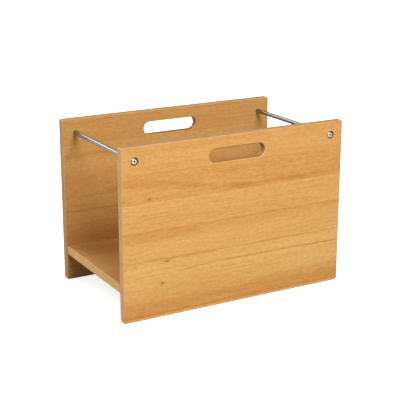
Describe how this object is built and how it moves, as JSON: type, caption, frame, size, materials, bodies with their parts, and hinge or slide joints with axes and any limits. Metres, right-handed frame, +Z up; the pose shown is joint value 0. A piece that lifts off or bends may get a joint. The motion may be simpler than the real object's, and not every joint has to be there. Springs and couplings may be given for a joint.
{
  "type": "magazine rack",
  "caption": "Open-ended wooden magazine rack: upright panels with hand slots joined by a low shelf and steel tie rods.",
  "frame": {"origin": "centre of the footprint, on the floor", "axes": "+X along the width, to the right of someone facing the front panel; the front panel faces -Y; +Z up"},
  "size_m": [0.44, 0.26, 0.305],
  "materials": {
    "panel_wood": "oiled hardwood, edge-glued from 50 mm staves with horizontal grain, eased edges",
    "shelf_wood": "oiled hardwood, edge-glued, with lengthwise grain",
    "plated_rod": "satin nickel-plated steel",
    "screw": "bright nickel-plated steel",
    "cam_fitting": "zinc-coloured metal",
    "cam_bolt": "zinc-plated steel",
    "dowel_wood": "plain fluted hardwood"
  },
  "bodies": {
    "root": {"front_panel": "panel_wood", "back_panel": "panel_wood", "shelf": "shelf_wood", "rod_left": "plated_rod", "rod_right": "plated_rod", "rod_screw_front_left": "screw", "rod_screw_front_right": "screw", "rod_screw_back_left": "screw", "rod_screw_back_right": "screw", "cam_lock_front_left": "cam_fitting", "cam_lock_front_right": "cam_fitting", "cam_lock_back_left": "cam_fitting", "cam_lock_back_right": "cam_fitting", "cam_bolt_front_left": "cam_bolt", "cam_bolt_front_right": "cam_bolt", "cam_bolt_back_left": "cam_bolt", "cam_bolt_back_right": "cam_bolt", "dowel_front_left": "dowel_wood", "dowel_front_right": "dowel_wood", "dowel_back_left": "dowel_wood", "dowel_back_right": "dowel_wood"}
  },
  "joints": []
}
